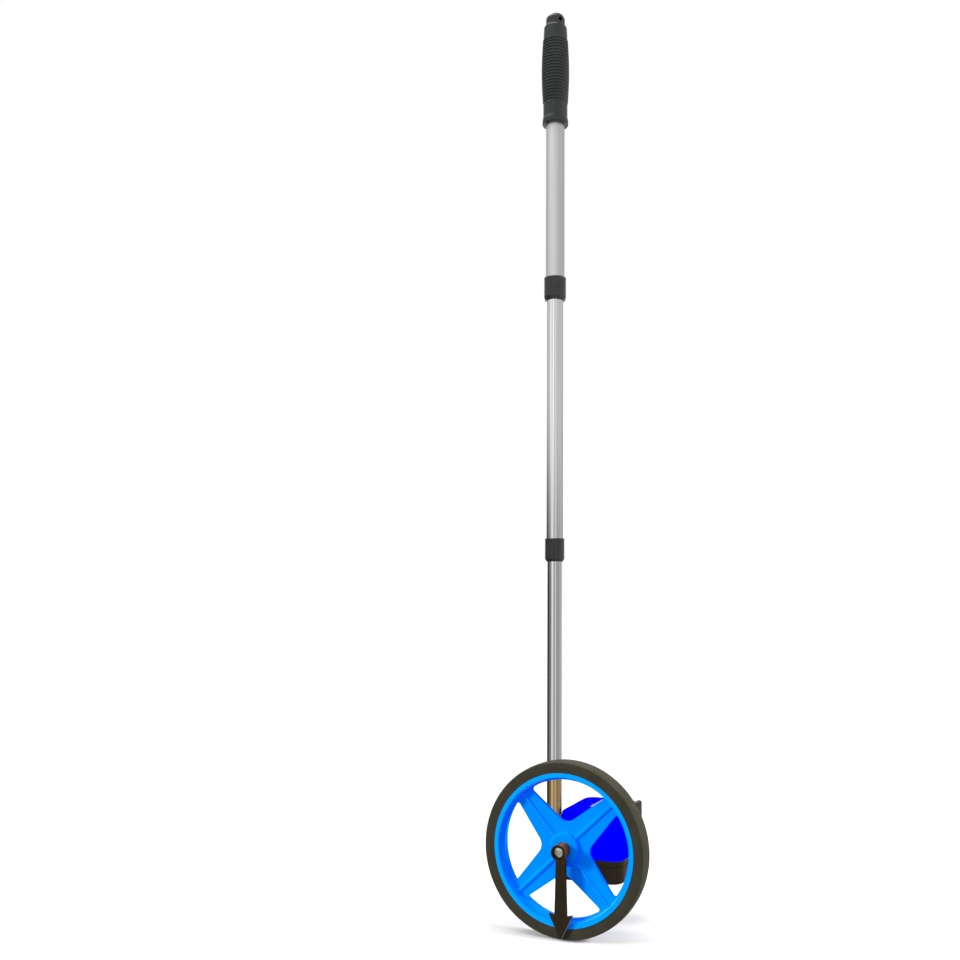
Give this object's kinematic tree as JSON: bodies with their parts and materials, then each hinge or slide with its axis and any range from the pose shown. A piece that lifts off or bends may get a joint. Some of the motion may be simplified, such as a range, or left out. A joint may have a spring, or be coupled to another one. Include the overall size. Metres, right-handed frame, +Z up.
{
  "type": "measuring wheel",
  "caption": "Compact measuring wheel with a hanging ground pointer, a geared digit counter in a housing behind it, and a telescopic pole with a ribbed grip.",
  "frame": {"origin": "on the ground plane, under the middle of the object's box", "axes": "+X is the direction of travel, +Y runs along the axle from the wheel to the counter housing, +Z is up along the pole"},
  "size_m": [0.1592, 0.111, 0.9118],
  "materials": {
    "tyre": "matte moulded rubber",
    "rim_plastic": "satin moulding",
    "housing_plastic": "satin moulding",
    "black_plastic": "fine grain",
    "collar_plastic": "satin",
    "grip_rubber": "soft moulded rubber",
    "tube_satin": "satin anodised",
    "tube_polished": "polished",
    "steel": "zinc plated",
    "bronze": "sintered",
    "gear_nylon": "natural nylon",
    "drum_plastic": "matte",
    "lens": "clear moulded pane"
  },
  "bodies": {
    "housing": {"axle": "steel", "axle_nut": "steel", "front_thrust_washer": "steel", "rear_thrust_washer": "steel", "pointer_arrow": "black_plastic", "pointer_screw": "steel", "housing_upper": "housing_plastic", "housing_base": "black_plastic", "housing_screws": "steel", "window_bezel": "housing_plastic", "window_lens": "lens", "counter_bracket": "steel", "bracket_screws": "steel", "drum_shaft": "steel", "pinion_shaft": "steel", "pinion_spacers": "steel", "reset_pin": "steel", "reset_spring": "steel", "pole_socket": "black_plastic", "socket_screws": "steel", "tube_foot_plug": "gear_nylon", "lower_tube": "tube_polished", "lower_tube_plug": "gear_nylon"},
    "wheel": {"tyre": "tyre", "wheel_rim": "rim_plastic", "hub_bush_front": "bronze", "hub_bush_rear": "bronze", "wheel_gear": "gear_nylon"},
    "drum_1": {"drum_gear": "gear_nylon", "digit_drum_1": "drum_plastic"},
    "drum_2": {"digit_drum_2": "drum_plastic"},
    "drum_3": {"digit_drum_3": "drum_plastic"},
    "drum_4": {"digit_drum_4": "drum_plastic"},
    "drum_5": {"digit_drum_5": "drum_plastic"},
    "pinion_1": {"transfer_pinion_1": "gear_nylon"},
    "pinion_2": {"transfer_pinion_2": "gear_nylon"},
    "pinion_3": {"transfer_pinion_3": "gear_nylon"},
    "pinion_4": {"transfer_pinion_4": "gear_nylon"},
    "reset": {"reset_lever": "black_plastic", "reset_comb": "gear_nylon"},
    "lower_lock": {"lower_collar": "collar_plastic"},
    "middle_pole": {"middle_tube": "tube_polished", "lower_collet": "gear_nylon", "middle_tube_plug": "gear_nylon"},
    "upper_lock": {"upper_collar": "collar_plastic"},
    "upper_pole": {"upper_tube": "tube_satin", "upper_collet": "gear_nylon", "grip": "grip_rubber"}
  },
  "joints": [
    {"name": "wheel_spin", "type": "hinge", "parent": "housing", "child": "wheel", "pos_m": [0, -0.0395, 0.07958], "axis": [0, 1, 0], "continuous": true},
    {"name": "drum_1_spin", "type": "hinge", "parent": "housing", "child": "drum_1", "pos_m": [0.018, -0.0015, 0.08958], "axis": [0, 1, 0], "continuous": true},
    {"name": "drum_2_spin", "type": "hinge", "parent": "housing", "child": "drum_2", "pos_m": [0.018, 0.0057, 0.08958], "axis": [0, 1, 0], "continuous": true},
    {"name": "drum_3_spin", "type": "hinge", "parent": "housing", "child": "drum_3", "pos_m": [0.018, 0.0129, 0.08958], "axis": [0, 1, 0], "continuous": true},
    {"name": "drum_4_spin", "type": "hinge", "parent": "housing", "child": "drum_4", "pos_m": [0.018, 0.0201, 0.08958], "axis": [0, 1, 0], "continuous": true},
    {"name": "drum_5_spin", "type": "hinge", "parent": "housing", "child": "drum_5", "pos_m": [0.018, 0.0273, 0.08958], "axis": [0, 1, 0], "continuous": true},
    {"name": "pinion_1_spin", "type": "hinge", "parent": "housing", "child": "pinion_1", "pos_m": [0.03119, 0.0015, 0.08034], "axis": [0, 1, 0], "continuous": true},
    {"name": "pinion_2_spin", "type": "hinge", "parent": "housing", "child": "pinion_2", "pos_m": [0.03119, 0.0087, 0.08034], "axis": [0, 1, 0], "continuous": true},
    {"name": "pinion_3_spin", "type": "hinge", "parent": "housing", "child": "pinion_3", "pos_m": [0.03119, 0.0159, 0.08034], "axis": [0, 1, 0], "continuous": true},
    {"name": "pinion_4_spin", "type": "hinge", "parent": "housing", "child": "pinion_4", "pos_m": [0.03119, 0.0231, 0.08034], "axis": [0, 1, 0], "continuous": true},
    {"name": "reset_press", "type": "hinge", "parent": "housing", "child": "reset", "pos_m": [0.04, 0.0415, 0.08558], "axis": [0, -1, 0], "range_deg": [0, 10], "stiffness_Nm_per_rad": 0.02, "springref_deg": -20.05},
    {"name": "middle_slide", "type": "slide", "parent": "housing", "child": "middle_pole", "axis": [0, 0, -1], "range_m": [0, 0.235]},
    {"name": "lower_twist", "type": "hinge", "parent": "middle_pole", "child": "lower_lock", "pos_m": [-0.0205, -0.0155, 0.35558], "axis": [0, 0, 1], "range_deg": [0, 60]},
    {"name": "upper_slide", "type": "slide", "parent": "middle_pole", "child": "upper_pole", "axis": [0, 0, -1], "range_m": [0, 0.23]},
    {"name": "upper_twist", "type": "hinge", "parent": "upper_pole", "child": "upper_lock", "pos_m": [-0.0205, -0.0155, 0.62058], "axis": [0, 0, 1], "range_deg": [0, 60]}
  ],
  "couplings": [
    {"joint": "drum_1_spin", "follows": "wheel_spin", "ratio": -0.5},
    {"joint": "drum_2_spin", "follows": "wheel_spin", "ratio": -0.05},
    {"joint": "drum_3_spin", "follows": "wheel_spin", "ratio": -0.005},
    {"joint": "drum_4_spin", "follows": "wheel_spin", "ratio": -0.0005},
    {"joint": "drum_5_spin", "follows": "wheel_spin", "ratio": -0.00005},
    {"joint": "pinion_1_spin", "follows": "wheel_spin", "ratio": 0.125},
    {"joint": "pinion_2_spin", "follows": "wheel_spin", "ratio": 0.0125},
    {"joint": "pinion_3_spin", "follows": "wheel_spin", "ratio": 0.00125},
    {"joint": "pinion_4_spin", "follows": "wheel_spin", "ratio": 0.000125}
  ]
}
